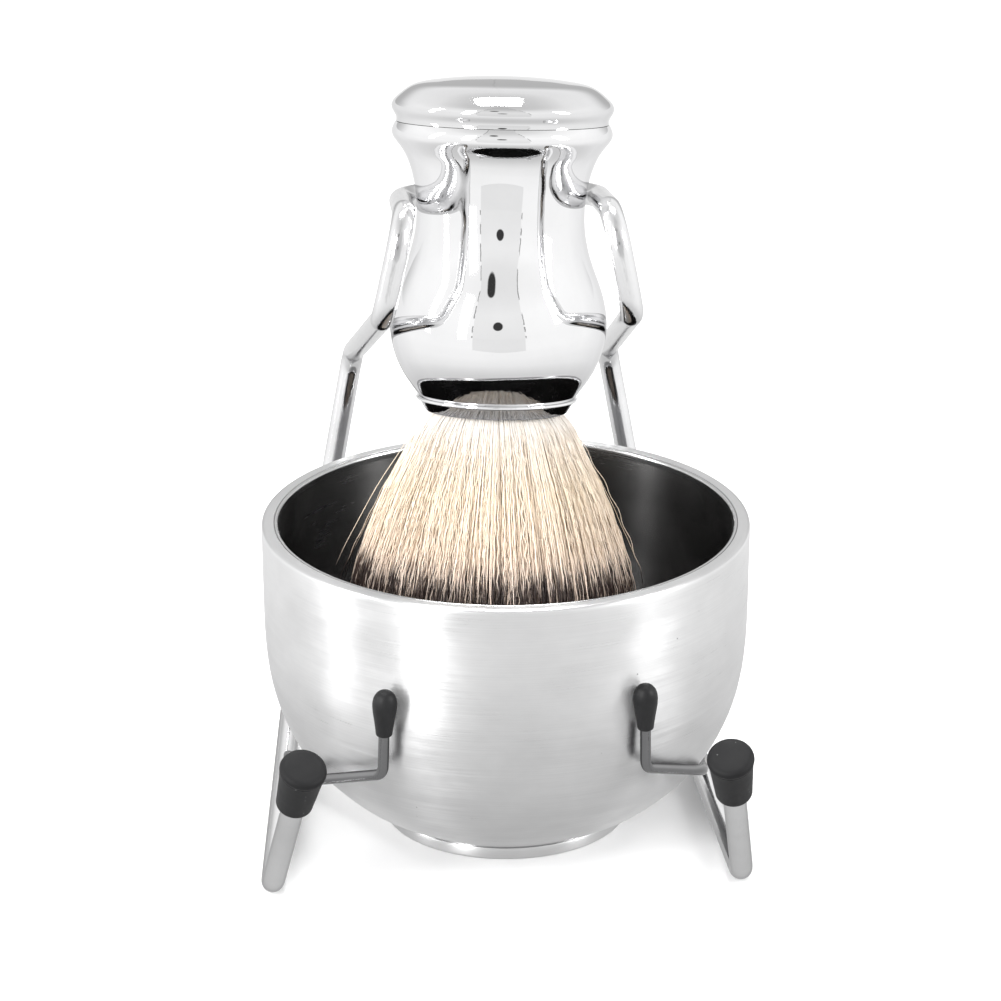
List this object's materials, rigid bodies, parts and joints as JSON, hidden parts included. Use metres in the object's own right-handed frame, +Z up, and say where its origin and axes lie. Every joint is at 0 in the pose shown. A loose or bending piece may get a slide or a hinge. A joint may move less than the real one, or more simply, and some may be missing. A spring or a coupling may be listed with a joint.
{
  "type": "shaving bowl and brush stand set",
  "caption": "Double-skinned steel lather bowl with a chrome-handled shaving brush hung bristles-down over it in a bent-wire stand with rubber caps.",
  "frame": {"origin": "centre of the set's footprint on the table, 1.3 mm from the bowl's axis", "axes": "+Z up, front of the set towards -Y, +X to the right seen from the front"},
  "size_m": [0.0994, 0.1208, 0.153],
  "materials": {
    "satin_steel": "satin spun stainless steel",
    "dark_steel": "polished inner skin, fine spinning marks",
    "handle_chrome": "mirror chrome plating",
    "wire_chrome": "polished drawn wire",
    "weld_metal": "polished resistance weld",
    "black_rubber": "matte moulded",
    "ballast_steel": "turned, unplated",
    "cup_plastic": "moulded",
    "resin": "cast epoxy",
    "bristle": "crimped cream fibre with dark brown tips"
  },
  "bodies": {
    "stand": {"stand_frame": "wire_chrome", "prong_arm_left": "wire_chrome", "prong_arm_right": "wire_chrome", "foot_cap_left": "black_rubber", "foot_cap_right": "black_rubber", "prong_tip_left": "black_rubber", "prong_tip_right": "black_rubber", "weld_beads_left": "weld_metal", "weld_beads_right": "weld_metal"},
    "bowl": {"bowl_outer_shell": "satin_steel", "bowl_inner_liner": "dark_steel", "bowl_foot_ring": "satin_steel", "bowl_base_disc": "satin_steel"},
    "brush": {"handle_body": "handle_chrome", "handle_cap": "handle_chrome", "cap_seal_ring": "black_rubber", "handle_weight": "ballast_steel", "ferrule_ring": "handle_chrome", "knot_cup": "cup_plastic", "knot_resin": "resin", "bristle_knot": "bristle"}
  },
  "joints": [
    {"name": "brush_slide", "type": "slide", "parent": "stand", "child": "brush", "axis": [0, -0.9829, 0.184], "range_m": [0, 0.007]},
    {"name": "bowl_lift", "type": "slide", "parent": "stand", "child": "bowl", "axis": [0, 0, 1], "range_m": [0, 0.016]}
  ]
}
